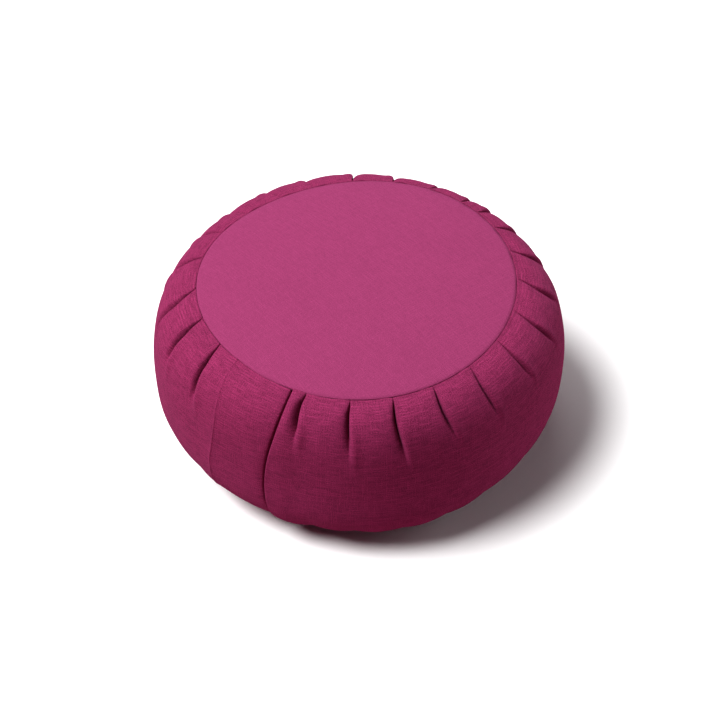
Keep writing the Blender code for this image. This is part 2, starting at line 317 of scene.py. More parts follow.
class ZafuStage(bpy.types.PropertyGroup):
    """Floor, lights and camera."""
    floor_colour: colour("Floor colour", "Colour of the plain floor", (0.86, 0.86, 0.86))
    bounce_colour: colour("Bounce colour", "Colour of the dimmer sheet that lights the underside",
                          (0.60, 0.34, 0.44))
    key_strength: share("Key strength", "Strength of the soft light at the upper left",
                        3.70, 0.0, 20.0)
    key_size: angle("Key size", "How wide the soft light is", 30.0)
    key_height: angle("Key height", "Height of the soft light above the floor", 58.5)
    key_turn: angle("Key turn", "Turn of the soft light around the cushion", 190.0)
    top_strength: share("Top strength", "Strength of the wide light high at the back",
                        0.45, 0.0, 20.0)
    side_strength: share("Side strength", "Strength of the low light at the right",
                         1.25, 0.0, 20.0)
    side_size: angle("Side size", "How wide the low light is", 36.0)
    side_height: angle("Side height", "Height of the low light above the floor", 11.0)
    side_turn: angle("Side turn", "Turn of the low light around the cushion", 20.0)
    fill_strength: share("Fill", "Strength of the even light from all around", 0.06, 0.0, 5.0)
    view_angle: angle("View angle", "Camera's field of view", 27.31)


# ------------------------------------------------------------------ shape

def smooth(amount):
    """Ease from 0 to 1."""
    amount = np.clip(amount, 0.0, 1.0)
    return amount * amount * (3.0 - 2.0 * amount)


def ramp(value, start, run):
    """Ease from 0 to 1 over a run that begins at a start."""
    return smooth((value - start) / run)


def blend(first, second, amount):
    """Value between two others."""
    return first + (second - first) * amount


def wave(angle, waves):
    """Uneven outline: the radius factor at an angle in radians."""
    factor = 1.0
    for lobes, part, turn in waves:
        factor = factor + part * np.cos(lobes * angle - math.radians(turn))
    return factor


def quarter(form, width, fullness, seam_radius, rise):
    """Full, rounded quarter of the band's section, from the seam to the waist."""
    inner = form.waist_radius - width
    reach = (seam_radius - inner) / width
    tall = rise / (1.0 - reach ** fullness) ** (1.0 / fullness)
    turn = np.linspace(math.acos(reach ** (fullness / 2.0)), 0.0, SECTION_POINTS)
    radius = inner + width * np.cos(turn) ** (2.0 / fullness)
    return radius, tall * np.sin(turn) ** (2.0 / fullness)


class Section:
    """Plain section of the band from the top seam down to the bottom seam."""

    def __init__(self, form):
        top = quarter(form, form.shoulder_width, SHOULDER_FULLNESS, form.top_seam_radius,
                      form.top_seam_height - form.waist_height)
        foot = quarter(form, form.belly_width, BELLY_FULLNESS, form.foot_seam_radius,
                       form.waist_height - form.foot_seam_height)
        self.radii = np.concatenate([top[0], foot[0][::-1][1:]])
        self.heights = form.waist_height + np.concatenate([top[1], -foot[1][::-1][1:]])
        steps = np.hypot(np.diff(self.radii), np.diff(self.heights))
        self.distances = np.concatenate([[0.0], np.cumsum(steps)])
        self.depth = float(self.distances[-1])

    def place(self, down):
        """Radius, height and outward direction at distances down from the top seam."""
        radius = np.interp(down, self.distances, self.radii)
        height = np.interp(down, self.distances, self.heights)
        before = np.clip(down - SLOPE_STEP, 0.0, self.depth)
        after = np.clip(down + SLOPE_STEP, 0.0, self.depth)
        across = np.interp(after, self.distances, self.radii) \
            - np.interp(before, self.distances, self.radii)
        along = np.interp(after, self.distances, self.heights) \
            - np.interp(before, self.distances, self.heights)
        run = np.hypot(across, along)
        return radius, height, -along / run, across / run


def line_angles(down, depth):
    """Angles in radians of the hem, the closing edge and the pleats at each distance down."""
    hem_sway = np.sin(math.pi * np.minimum(down / HEM_SWAY_LENGTH, 1.0))
    closing_sway = np.sin(0.5 * math.pi * down / CLOSING_SWAY_LENGTH) ** 2
    lines = [HEM_ANGLE + HEM_SWAY * hem_sway, CLOSING_ANGLE + CLOSING_SWAY * closing_sway]
    for pleat in PLEAT_ROWS:
        bent = np.clip((np.minimum(down, pleat["length"]) - BEND_START) / BEND_LENGTH, 0.0, None)
        upper = pleat["top"] + pleat["bend"] * bent ** BEND_POWER \
            + pleat["lean"] * np.sin(0.5 * math.pi * np.minimum(down / LEAN_LENGTH, 1.0))
        run = depth - pleat["length"] - pleat["foot_length"]
        lines.append(blend(upper, pleat["foot"], ramp(down, pleat["length"], run)))
    return np.radians(np.stack(lines, axis=-1))


def next_angles(angles):
    """Angle of the next line or column around the ring."""
    return np.concatenate([angles[:, 1:], angles[:, :1] + 2.0 * math.pi], axis=1)


def bay_shares(width, steps, far_columns):
    """Columns of one bay as shares of it: close beside both of its lines."""
    reach = min(steps[-1], NEAR_SHARE * width)
    near = np.array(steps) * reach / steps[-1] / width
    middle = np.linspace(near[-1], 1.0 - near[-1], far_columns + 2)[1:-1]
    return np.concatenate([[0.0], near, middle, 1.0 - near[::-1]])


def band_rows(depth, first, largest):
    """Distances down of the band's rows: close together at both seams."""
    steps = [first]
    while sum(steps) < 0.5 * depth:
        steps.append(min(steps[-1] * ROW_GROWTH, largest))
    half = np.concatenate([[0.0], np.cumsum(steps)]) * 0.5 * depth / sum(steps)
    return np.concatenate([half, depth - half[::-1][1:]])


def opening(part, width):
    """How open a pleat is at shares of its length; a narrow one stays crisp for longer."""
    full = blend(*OPEN_SHARES, np.clip(width, 0.0, 1.0)) \
        + WIDE_OPEN_SHARE * np.clip(width - 1.0, 0.0, 1.0)
    return blend(SEAM_OPENING, 1.0, ramp(part, *OPENS)) * (1.0 - ramp(part, full, 1.0 - full))


def crease(pleats, beside, part, depth, ridge, width, hollow):
    """Drawn-in cloth of one pleat at shares of its length: one steep side, one soft slope."""
    steep = blend(*EDGE_WIDTHS, ramp(part, *EDGE_WIDENS)) * pleats.edge_width
    slope = blend(*SLOPE_WIDTHS, ramp(part, *SLOPE_WIDENS)) * pleats.slope_width * width
    wall = np.exp(-np.abs(beside / steep) ** WALL_POWER)
    drawn = np.where(beside < 0.0, np.exp(-np.abs(beside / slope) ** hollow), wall)
    rise = ramp(part, *RIDGE_RISES) * (1.0 - ramp(part, *RIDGE_SINKS))
    crest = np.exp(-((beside - RIDGE_PLACE * pleats.ridge_width) / pleats.ridge_width) ** 2)
    return ridge * rise * crest - depth * opening(part, width) * drawn


def overhang(pleats, beside, part, width):
    """How far a pleat's folded edge reaches over its crease."""
    rise = ramp(beside, *OVERHANG_RISES)
    sinking = 1.0 - ramp(beside, *OVERHANG_SINKS)
    reach = pleats.overhang * blend(LEAST_OVERHANG, 1.0, width)
    return reach * opening(part, width) * rise * sinking


def underlay(pleats, beside, part):
    """Faint step where the pleat's hidden fold ends under the cloth, near the seam."""
    start = ramp(beside, *UNDERLAY_STARTS)
    end = 1.0 - ramp(beside, *UNDERLAY_ENDS)
    return pleats.underlay * (1.0 - ramp(part, *UNDERLAY_FADES)) * start * end


def lap(pleats, beside):
    """Closing edge: a groove, the upper layer's folded edge, the layer sinking back."""
    narrow = GROOVE_SHARES[0] * np.exp(-(beside / GROOVE_WIDTHS[0]) ** 2)
    wide = GROOVE_SHARES[1] * np.exp(-np.abs(beside) / GROOVE_WIDTHS[1])
    left = -pleats.lap_groove * (narrow + wide)
    layer = pleats.lap_height * ramp(beside, *LAP_RISES) * (1.0 - ramp(beside, *LAP_SINKS))
    right = layer - pleats.lap_groove * np.exp(-np.abs(beside / GROOVE_WALL) ** 2)
    return np.where(beside < 0.0, left, right)


def hem(pleats, beside, up):
    """Lower layer's hem showing through: a long crest with a thin raised line on it."""
    crest = np.exp(-np.abs(beside) / np.where(beside < 0.0, *HEM_WIDTHS))
    rise = pleats.hem_height * crest + pleats.hem_line * np.exp(-(beside / HEM_LINE_WIDTH) ** 2)
    return rise * ramp(up, *HEM_RISES)


def lumps(angles, down):
    """Soft lumps of the filling, from -1 to 1."""
    total = 0.0
    for index, (turn, rise) in enumerate(LUMPS):
        around = FIRST_LOBES + ADDED_LOBES * index
        total = total + np.sin(around * angles + turn) \
            * np.sin(around * down / LUMP_REACH + rise) / (1.0 + LUMP_FADE * index)
    return total / LUMP_RANGE


def facing(angles, middle, whole, none):
    """From 1 near a direction to 0 away from it, all in degrees."""
    away = np.abs(np.mod(np.degrees(angles) - middle + 180.0, 360.0) - 180.0)
    return 1.0 - ramp(away, whole, none - whole)


def seams(pleats, angles, to_seam):
    """Turn of the band into its seams: deep at the front, with a raised rim at the right."""
    dip = pleats.seam_dip * blend(DIP_LEAST, 1.0, facing(angles, *DIP_FACING))
    rim = pleats.seam_rim * blend(RIM_LEAST, 1.0, facing(angles, *RIM_FACING))
    return rim * np.exp(-((to_seam - RIM_PLACE) / RIM_WIDTH) ** 2) \
        - dip * np.exp(-(to_seam / pleats.seam_roll) ** 2)


def relief(pleats, angles, down, radius, depth):
    """How far the band stands off its plain section, and how far it leans clockwise."""
    lines = line_angles(down, depth)
    down, up, radius = down[:, None], (depth - down)[:, None], radius[:, None]
    turned = np.mod(angles[..., None] - lines[:, None, :] + math.pi, 2.0 * math.pi) - math.pi
    beside = turned * radius[..., None]
    off = hem(pleats, beside[..., 0], up) + lap(pleats, beside[..., 1])
    aside = 0.0
    for index, pleat in enumerate(PLEAT_ROWS):
        across = beside[..., index + 2]
        part, foot_part = down / pleat["length"], up / pleat["foot_length"]
        off = off + crease(pleats, across, part, pleats.depth * pleat["depth"], pleats.ridge,
                           pleat["width"], pleat["hollow"])
        off = off + crease(pleats, across, foot_part, pleats.foot_depth, 0.0, 1.0, 1.0)
        off = off + underlay(pleats, across, part)
        aside = aside + overhang(pleats, across, part, pleat["width"])
    bay = np.mod(angles[..., None] - lines[:, None, :], 2.0 * math.pi) \
        / (next_angles(lines) - lines)[:, None, :]
    inside = np.where(bay < 1.0, bay, 0.0).max(axis=-1)
    to_seam = np.minimum(down, up)
    swell = pleats.swell * (1.0 - ramp(to_seam, *SWELL_SINKS))
    off = off + swell * np.sin(math.pi * inside) * ramp(to_seam, *SWELL_RISES)
    off = off + pleats.unevenness * lumps(angles, down) * ramp(to_seam, *LUMPS_RISE)
    return off + seams(pleats, angles, to_seam), aside


def ring_factor(angles, part):
    """Uneven outline at a share of the way down: the seam's waves at both seams."""
    to_waist = np.sin(math.pi * part)
    return wave(angles, SEAM_WAVES) * (1.0 - to_waist) + wave(angles, WAIST_WAVES) * to_waist


def top_face(form, part):
    """Height of the crowned top panel at a share of the seam's radius."""
    crown = form.height - form.top_seam_height
    return form.top_seam_height + crown * (1.0 - part ** CROWN_FULLNESS)


def foot_face(form, part):
    """Height of the bottom panel's lower face: flat, then rising to the seam."""
    flat = FLAT_FOOT_RADIUS / form.foot_seam_radius
    rise = np.clip((part - flat) / (1.0 - flat), 0.0, 1.0)
    return form.foot_seam_height * rise ** FOOT_RISE_POWER


def ring_points(angles, radii, heights):
    """Points of rings from angles, radii and heights."""
    angles, radii, heights = np.broadcast_arrays(angles, radii, heights)
    return np.stack([radii * np.cos(angles), radii * np.sin(angles), heights], axis=-1)


def closed_mesh(name, rings, poles, weave):
    """Closed smooth mesh: rings joined in order and a fan at each end, with weave places.

    weave has two places for each face's left and right side: (rings, columns, 2, 2).
    """
    count, columns = rings.shape[:2]
    points = np.concatenate([rings.reshape(-1, 3), np.array(poles)])
    start, end = count * columns, count * columns + 1
    row, column = np.meshgrid(np.arange(count - 1), np.arange(columns), indexing="ij")
    after = (column + 1) % columns
    quads = np.stack([row * columns + column, (row + 1) * columns + column,
                      (row + 1) * columns + after, row * columns + after], axis=-1)
    edge = np.arange(columns)
    following = (edge + 1) % columns
    last = (count - 1) * columns
    faces = quads.reshape(-1, 4).tolist()
    faces += [[start, int(a), int(b)] for a, b in zip(edge, following)]
    faces += [[end, int(last + b), int(last + a)] for a, b in zip(edge, following)]
    mesh = bpy.data.meshes.new(name)
    mesh.from_pydata(points.tolist(), [], faces)
    left, right = weave[:, :, 0], weave[:, :, 1]
    places = np.stack([left[:-1], left[1:], right[1:], right[:-1]], axis=2).reshape(-1, 2)
    first = np.stack([0.5 * (left[0] + right[0]), left[0], right[0]], axis=1).reshape(-1, 2)
    final = np.stack([0.5 * (left[-1] + right[-1]), right[-1], left[-1]], axis=1).reshape(-1, 2)
    layer = mesh.uv_layers.new(name="weave")
    layer.data.foreach_set("uv", np.concatenate([places, first, final]).ravel().astype(np.float32))
    mesh.shade_smooth()
    mesh.validate()
    mesh.update()
    return mesh


def plane_weave(rings, turn):
    """Weave places of a flat cut piece: its plan, turned by an angle."""
    plan = rings[..., :2] @ np.array([[math.cos(turn), math.sin(turn)],
                                      [-math.sin(turn), math.cos(turn)]])
    return np.stack([plan, np.roll(plan, -1, axis=1)], axis=2)


class Band:
    """The band's grid: its rows, its columns and their places in the bays."""

    def __init__(self, form, steps, far_columns, first_row, largest_row):
        self.section = Section(form)
        self.down = band_rows(self.section.depth, first_row, largest_row)
        lines = line_angles(self.down, self.section.depth)
        spans = next_angles(lines) - lines
        angles, middles, places = [], [], []
        for bay, width in enumerate(spans[0] * form.top_seam_radius):
            parts = bay_shares(width, steps, far_columns)
            line, span = lines[:, bay:bay + 1], spans[:, bay:bay + 1]
            angles.append(line + span * parts)
            middles.append(np.repeat(line + 0.5 * span, len(parts), axis=1))
            places.append(bay + parts)
        self.angles = np.concatenate(angles, axis=1)
        self.middles = np.concatenate(middles, axis=1)
        self.places = np.concatenate(places)

    def surface(self, off, aside=0.0):
        """Points of the outer face, standing off the plain section and leaning clockwise."""
        radius, height, outward, upward = self.section.place(self.down)
        part = (self.down / self.section.depth)[:, None]
        radii = radius[:, None] * ring_factor(self.angles, part) + off * outward[:, None]
        turned = self.angles - aside / radius[:, None]
        return ring_points(turned, radii, height[:, None] + off * upward[:, None])

    def weave(self, form, off):
        """Weave places: around, with the height of the folds' walls, and down.

        The climb is counted from each bay's middle. What the pleats take in is lost in them.
        """
        step = np.abs(np.diff(off, axis=1, append=off[:, :1]))
        climb = (np.cumsum(step, axis=1) - step).reshape(len(off), len(PLEAT_ROWS) + 2, -1)
        climb = climb - climb[..., climb.shape[-1] // 2][..., None]
        climb = climb.reshape(off.shape)
        radius = self.section.place(self.down)[0]
        to_seam = np.minimum(self.down, self.section.depth - self.down)
        reach = blend(radius, form.waist_radius, ramp(to_seam, *WEAVE_GATHERS))[:, None]
        down = np.broadcast_to(self.down[:, None], self.angles.shape)
        both = ((self.angles, climb), (next_angles(self.angles), climb + step))
        sides = [np.stack([self.middles * form.waist_radius + (side - self.middles) * reach
                           + risen, down], axis=-1) for side, risen in both]
        return np.stack(sides, axis=2)


# Rings of both recesses inside their walls, as shares of the seam's radius
TOP_RECESS = (0.25, 0.55, 0.80, 0.94)
FOOT_RECESS = (0.40, 0.79, 0.92)


def recess(angles, seam_radius, face, shares, sink):
    """Rings of the recess that a panel lies in, from the middle out to its wall."""
    factor = wave(angles, SEAM_WAVES)
    return np.stack([ring_points(angles, seam_radius * part * factor, face(part) + sink)
                     for part in (*shares, 1.0 - WALL_PLAY / seam_radius)])


def with_recesses(form, band, outer, sink):
    """Rings of the whole band: the top panel's recess, the outer face, the bottom panel's."""
    top = recess(band.angles[0], form.top_seam_radius,
                 lambda part: top_face(form, part), TOP_RECESS, -sink)
    foot = recess(band.angles[-1], form.foot_seam_radius,
                  lambda part: foot_face(form, part), FOOT_RECESS, sink)
    return np.concatenate([top, outer, foot[::-1]])


def centre(form):
    """Shift in plan that brings the panel onto its packed solid."""
    angles = np.linspace(0.0, 2.0 * math.pi, 90, endpoint=False)
    edge = form.top_seam_radius - SOLID_EDGE_PLAY
    rim = ring_points(angles, edge * wave(angles, SEAM_WAVES), 0.0)
    low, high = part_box("top_panel")
    middle = 0.5 * (rim.min(axis=0) + rim.max(axis=0))
    return np.array([0.5 * (low[0] + high[0]) - middle[0],
                     0.5 * (low[1] + high[1]) - middle[1], 0.0])


def held_points(band):
    """Rows and columns where the sewing holds the cloth: seams, creases, closing edge."""
    held = np.zeros(band.angles.shape, bool)
    held[0] = held[-1] = True
    up = band.section.depth - band.down
    for index, pleat in enumerate(PLEAT_ROWS):
        column = int(np.argmin(np.abs(band.places - (index + 2))))
        held[:, column] = (band.down < CLOTH_HOLD * pleat["length"]) \
            | (up < CLOTH_FOOT_HOLD * pleat["foot_length"])
    held[:, int(np.argmin(np.abs(band.places - 1.0)))] = True
    return held


def inflated(form):
    """Grid of how far pressure moves the sewn cloth out between what holds it."""
    band = Band(form, CLOTH_STEPS, CLOTH_COLUMNS, CLOTH_FIRST_ROW, CLOTH_LARGEST_ROW)
    held = held_points(band)
    outer = band.surface(np.where(held, -2.0 * CLOTH_START, -CLOTH_START))
    rings = with_recesses(form, band, outer, 0.0)
    rows = slice(len(TOP_RECESS) + 1, len(TOP_RECESS) + 1 + len(outer))
    poles = np.array([(0.0, 0.0, form.height), (0.0, 0.0, 0.0)])
    weave = np.zeros((*rings.shape[:2], 2, 2))
    mesh = closed_mesh("inflating_cloth", rings, poles, weave)
    bag = bpy.data.objects.new("inflating_cloth", mesh)
    bpy.context.scene.collection.objects.link(bag)
    free = np.zeros(rings.shape[:2], bool)
    free[rows] = ~held
    fixed = np.append(~free.ravel(), [True, True])
    group = bag.vertex_groups.new(name="sewn")
    group.add(np.nonzero(fixed)[0].tolist(), 1.0, "REPLACE")
    cloth = bag.modifiers.new("cloth", "CLOTH")
    cloth.settings.vertex_group_mass = "sewn"
    for setting, value in CLOTH_SETTINGS.items():
        setattr(cloth.settings, setting, value)
    cloth.settings.effector_weights.gravity = 0.0
    cloth.collision_settings.use_collision = False
    cloth.point_cache.frame_start = 1
    cloth.point_cache.frame_end = CLOTH_FRAMES
    for step in range(1, CLOTH_FRAMES + 1):
        bpy.context.scene.frame_set(step)
    result = bag.evaluated_get(bpy.context.evaluated_depsgraph_get())
    moved = np.empty(len(result.data.vertices) * 3)
    result.data.vertices.foreach_get("co", moved)
    moved = (moved.reshape(-1, 3)[:-len(poles)].reshape(rings.shape) - rings)[rows]
    bpy.data.objects.remove(bag, do_unlink=True)
    bpy.context.scene.frame_set(1)
    outward, upward = band.section.place(band.down)[2:]
    way = ring_points(band.angles, outward[:, None], upward[:, None])
    puffed = np.clip((moved * way).sum(axis=-1), -CLOTH_CAP, CLOTH_CAP)
    return band, puffed - puffed.mean(axis=1, keepdims=True)


def spread(band, grid, fine):
    """Values of a coarse grid of the band at the places of a finer one."""
    bays = len(PLEAT_ROWS) + 2
    around = np.stack([np.interp(fine.places, band.places, row, period=bays) for row in grid])
    return np.stack([np.interp(fine.down, band.down, column) for column in around.T], axis=1)


def band_mesh(form, pleats):
    """The filled band with its pleats: outer face and a recess for each panel."""
    band = Band(form, NEAR_STEPS, FAR_COLUMNS, FIRST_ROW_STEP, LARGEST_ROW_STEP)
    off, aside = relief(pleats, band.angles, band.down, band.section.place(band.down)[0],
                        band.section.depth)
    off = off + spread(*inflated(form), band)
    sink = form.cloth + FACE_PLAY
    rings = with_recesses(form, band, band.surface(off, aside), sink)
    weave = np.concatenate([plane_weave(rings[:len(TOP_RECESS) + 1], 0.0), band.weave(form, off),
                            plane_weave(rings[-len(FOOT_RECESS) - 1:], 0.0)])
    shift = centre(form)
    poles = np.array([(0.0, 0.0, form.height - sink), (0.0, 0.0, sink)])
    return closed_mesh("side_band_cloth", rings + shift, poles + shift, weave)


# A panel's mesh: columns, rings of its outer face and its first one's share of the radius,
# the roll of its edge and the rings in it, shares of the rings of its inner face
PANEL_COLUMNS = 360
PANEL_RINGS = 44
FIRST_RING = 0.02
EDGE_ROLL = 0.0001
EDGE_TURNS = 6
INNER_RINGS = (1.0, 0.80, 0.45)

# Turn of each panel's threads on the cushion
TOP_WEAVE_TURN = math.radians(50.0)
FOOT_WEAVE_TURN = math.radians(12.0)


def panel_mesh(name, form, seam_radius, face, side, turn):
    """Round panel: its outer face, the edge that turns down into the seam, its inner face."""
    angles = np.linspace(0.0, 2.0 * math.pi, PANEL_COLUMNS, endpoint=False)
    factor = wave(angles, SEAM_WAVES)
    edge = 1.0 - EDGE_PLAY / seam_radius
    brink = edge - EDGE_ROLL / seam_radius
    outer = np.linspace(FIRST_RING, 1.0, PANEL_RINGS) * brink
    rings = [ring_points(angles, seam_radius * part * factor, face(part)) for part in outer]
    for turned in np.linspace(0.0, 0.5 * math.pi, EDGE_TURNS + 1)[1:]:
        part = brink + (edge - brink) * math.sin(turned)
        drop = form.cloth * (1.0 - math.cos(turned))
        rings.append(ring_points(angles, seam_radius * part * factor, face(part) - side * drop))
    for part in np.array(INNER_RINGS) * brink:
        rings.append(ring_points(angles, seam_radius * part * factor,
                                 face(part) - side * form.cloth))
    rings = np.stack(rings)
    if side < 0.0:
        rings = rings[::-1]
    shift = centre(form)
    poles = np.array([(0.0, 0.0, face(0.0)), (0.0, 0.0, face(0.0) - side * form.cloth)])
    poles = poles if side > 0.0 else poles[::-1]
    return closed_mesh(name, rings + shift, poles + shift, plane_weave(rings, turn))


# ------------------------------------------------------------------ material

# How much of the tone follows the threads that run around, of what both sets share out, and
# what the thread on top of a crossing adds to its own
BAND_LEAD = 0.52
PANEL_LEAD = 0.42
TONE_TOTAL = 0.95
TONE_ON_TOP = 0.30

# Threads: how far they wander, waves per metre of that along and across them, the step in
# the noise from one thread to the next, how sharply a slub starts, the sinking at a crossing,
# the height that a slub adds and the height of a thin thread
WANDER = 0.0018
WANDER_ALONG = 24.0
WANDER_ACROSS = 90.0
THREAD_STEP = 5.37
SLUB_SHARPNESS = 3.0
CROSSING = 0.4
WEFT_HEIGHTS = (0.8, 0.5)
WARP_HEIGHTS = (0.6, 0.5)

# Depth of each pattern in the noise, so that none follows another
DEPTHS = {"wander around": 3.0, "wander down": 9.0, "weft": 1.5, "warp": 6.5,
          "clouds": 12.0, "grain": 20.0}

# Waves per metre of the dyeing's clouds and of the grain, and each part's share of the tone; the
# relief's share is painted shade between the threads and painted highlight on their tops
CLOUD_WAVES = 26.0
GRAIN_WAVES = 1400.0
SLUB_TONE = 0.50
RIB_TONE = 0.62
GRAIN_TONE = 3.4
RELIEF_PAINTED_SHADE = 0.4
CLOUD_TONE = 0.05
RELIEF_ROUGHNESS = -0.06
SHEEN_TINT = (0.90, 0.55, 0.85, 1.0)


class Field:
    """A number or colour that varies over a surface. An expression adds its Math nodes."""

    def __init__(self, surface, socket):
        self.surface = surface
        self.socket = socket

    def maths(self, operation, *others, clamp=False):
        """Math node on this value and others."""
        return self.surface.add("ShaderNodeMath", {"operation": operation, "use_clamp": clamp},
                                dict(enumerate((self, *others))))

    def __add__(self, other):
        return self.maths("ADD", other)

    def __sub__(self, other):
        return self.maths("SUBTRACT", other)

    def __rsub__(self, other):
        return self.surface.add("ShaderNodeMath", {"operation": "SUBTRACT"}, {0: other, 1: self})

    def __mul__(self, other):
        return self.maths("MULTIPLY", other)

    def __truediv__(self, other):
        return self.maths("DIVIDE", other)

    __radd__ = __add__


class Surface:
    """The nodes of one material."""

    def __init__(self, name):
        self.material = bpy.data.materials.new(name)
        self.material.use_nodes = True
        self.tree = self.material.node_tree
        self.tree.nodes.clear()

    def add(self, kind, settings=None, sockets=None, output=0):
        """Node of a kind: its settings first, then the values or links of its sockets."""
        node = self.tree.nodes.new(kind)
        for name, value in (settings or {}).items():
            setattr(node, name, value)
        for key, value in (sockets or {}).items():
            if isinstance(value, Field):
                self.tree.links.new(value.socket, node.inputs[key])
            else:
                node.inputs[key].default_value = value
        return Field(self, node.outputs[output]) if node.outputs else None

    def places(self):
        """The weave's two coordinates in metres."""
        layer = self.add("ShaderNodeUVMap", {"uv_map": "weave"})
        return [self.add("ShaderNodeSeparateXYZ", {}, {0: layer}, output=axis) for axis in (0, 1)]

    def noise(self, x, y, z, detail=0.0):
        """Noise from 0 to 1 at a point."""
        point = self.add("ShaderNodeCombineXYZ", {}, {0: x, 1: y, 2: z})
        return self.add("ShaderNodeTexNoise", {"noise_dimensions": "3D"},
                        {"Vector": point, "Scale": 1.0, "Detail": detail})


def cotton(name, cloth, dye_and_painted_light, contrast, slub_length, lead):
    """Slub cotton: two sets of irregular threads, cloudy dyeing, fine fuzz, with light and shade
    painted into its colour.
    """
    surface = Surface(name)
    around, down = surface.places()
    wander_around = surface.noise(around * WANDER_ALONG, down * WANDER_ACROSS,
                                  DEPTHS["wander around"])
    wander_down = surface.noise(around * WANDER_ACROSS, down * WANDER_ALONG,
                                DEPTHS["wander down"])
    weft = (down + (wander_down - 0.5) * WANDER) / cloth.weft_pitch
    warp = (around + (wander_around - 0.5) * WANDER) / cloth.warp_pitch
    weft_number = weft.maths("FLOOR")
    warp_number = warp.maths("FLOOR")
    weft_beside = (weft - weft_number) * 2.0 - 1.0
    warp_beside = (warp - warp_number) * 2.0 - 1.0
    weft_round = 1.0 - weft_beside * weft_beside
    warp_round = 1.0 - warp_beside * warp_beside
    slubs = 1.0 / slub_length
    weft_slub = surface.noise(around * slubs, weft_number * THREAD_STEP, DEPTHS["weft"],
                              detail=1.0)
    warp_slub = surface.noise(warp_number * THREAD_STEP, down * slubs, DEPTHS["warp"],
                              detail=1.0)
    weft_thick = ((weft_slub - 0.5) * SLUB_SHARPNESS).maths("ADD", 0.5, clamp=True)
    warp_thick = ((warp_slub - 0.5) * SLUB_SHARPNESS).maths("ADD", 0.5, clamp=True)
    over = (weft_number + warp_number).maths("FLOORED_MODULO", 2.0)
    weft_height = weft_round * (1.0 - warp_beside * warp_beside * CROSSING) \
        * (weft_thick * WEFT_HEIGHTS[0] + WEFT_HEIGHTS[1])
    warp_height = warp_round * (1.0 - weft_beside * weft_beside * CROSSING) \
        * (warp_thick * WARP_HEIGHTS[0] + WARP_HEIGHTS[1])
    relief_height = weft_height * over + warp_height * (1.0 - over)
    tone = (weft_thick - 0.5) * (over * TONE_ON_TOP + lead) \
        + (warp_thick - 0.5) * (TONE_TOTAL - lead - over * TONE_ON_TOP)
    clouds = surface.noise(around * CLOUD_WAVES, down * CLOUD_WAVES, DEPTHS["clouds"],
                           detail=2.0)
    grain = surface.noise(around * GRAIN_WAVES, down * GRAIN_WAVES, DEPTHS["grain"],
                          detail=1.0)
    weft_rib = (weft_number.maths("FLOORED_MODULO", 2.0) - 0.5) * weft_thick
    warp_rib = (warp_number.maths("FLOORED_MODULO", 2.0) - 0.5) * warp_thick
    ribs = weft_rib * lead + warp_rib * (TONE_TOTAL - lead)
    # Random tone of slubs, ribs and grain, plus the relief's part: painted shade in the gaps
    # between threads and painted highlight on the raised threads
    tone_and_relief_shade = tone * SLUB_TONE + ribs * RIB_TONE \
        + (grain - 0.5) * GRAIN_TONE + (relief_height - 0.5) * RELIEF_PAINTED_SHADE
    value = 1.0 + tone_and_relief_shade * contrast + (clouds - 0.5) * CLOUD_TONE
    # The colour given is the lit copy for the top panel and the shaded copy for the band and the
    # bottom panel: painted light and shade
    colour_with_painted_light = surface.add("ShaderNodeVectorMath", {"operation": "SCALE"},
                       {0: tuple(dye_and_painted_light), "Scale": value})
    roughness = (relief_height - 0.5) * RELIEF_ROUGHNESS + cloth.roughness
    bump = surface.add("ShaderNodeBump", {}, {"Strength": 1.0, "Distance": cloth.thread_height,
                                             "Height": relief_height})
    shader = surface.add("ShaderNodeBsdfPrincipled", {}, {
        "Base Color": colour_with_painted_light, "Roughness": roughness, "Normal": bump,
        "Specular IOR Level": 0.08, "Sheen Weight": cloth.sheen, "Sheen Roughness": 0.5,
        "Sheen Tint": SHEEN_TINT})
    surface.add("ShaderNodeOutputMaterial", {}, {"Surface": shader})
    return surface.material


def plain(name, tone):
    """Plain matt finish of the stage."""
    surface = Surface(name)
    shader = surface.add("ShaderNodeBsdfPrincipled", {}, {
        "Base Color": (*tone, 1.0), "Roughness": 0.95, "Specular IOR Level": 0.1})
    surface.add("ShaderNodeOutputMaterial", {}, {"Surface": shader})
    return surface.material


# ------------------------------------------------------------------ pieces

def place_piece(mesh, material, node):
    """Piece on the cushion's body in place of its packed solid."""
    piece = bpy.data.objects.new(mesh.name, mesh)
    mesh.materials.append(material)
    bpy.context.scene.collection.objects.link(piece)
    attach(piece, BODY)
    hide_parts(node)
    return piece


class ZafuSideBand(bpy.types.Operator):
    """Add the filled side band with its pleats and its lapped closing"""
    bl_idname = "zafu.side_band"
    bl_label = "Side band"

    def execute(self, context):
        scene = context.scene
        cloth = scene.zafu_cloth
        # The band takes the darker, shaded copy of the cloth's colour: painted shade
        piece = place_piece(
            band_mesh(scene.zafu_form, scene.zafu_pleats),
            cotton("band cotton", cloth, cloth.band_shaded_colour, cloth.band_contrast, cloth.band_slub,
                   BAND_LEAD),
            "side_band")
        return {"FINISHED"}


class ZafuTopPanel(bpy.types.Operator):
    """Add the round top panel, crowned by the filling"""
    bl_idname = "zafu.top_panel"
    bl_label = "Top panel"

    def execute(self, context):
        scene = context.scene
        form, cloth = scene.zafu_form, scene.zafu_cloth
        # The top panel takes the paler, lit copy of the cloth's colour: painted highlight
        piece = place_piece(
            panel_mesh("top_panel_cloth", form, form.top_seam_radius,
                       lambda part: top_face(form, part), 1.0, TOP_WEAVE_TURN),
            cotton("top panel cotton", cloth, cloth.panel_lit_colour, cloth.panel_contrast,
                   cloth.panel_slub, PANEL_LEAD),
            "top_panel")
        return {"FINISHED"}


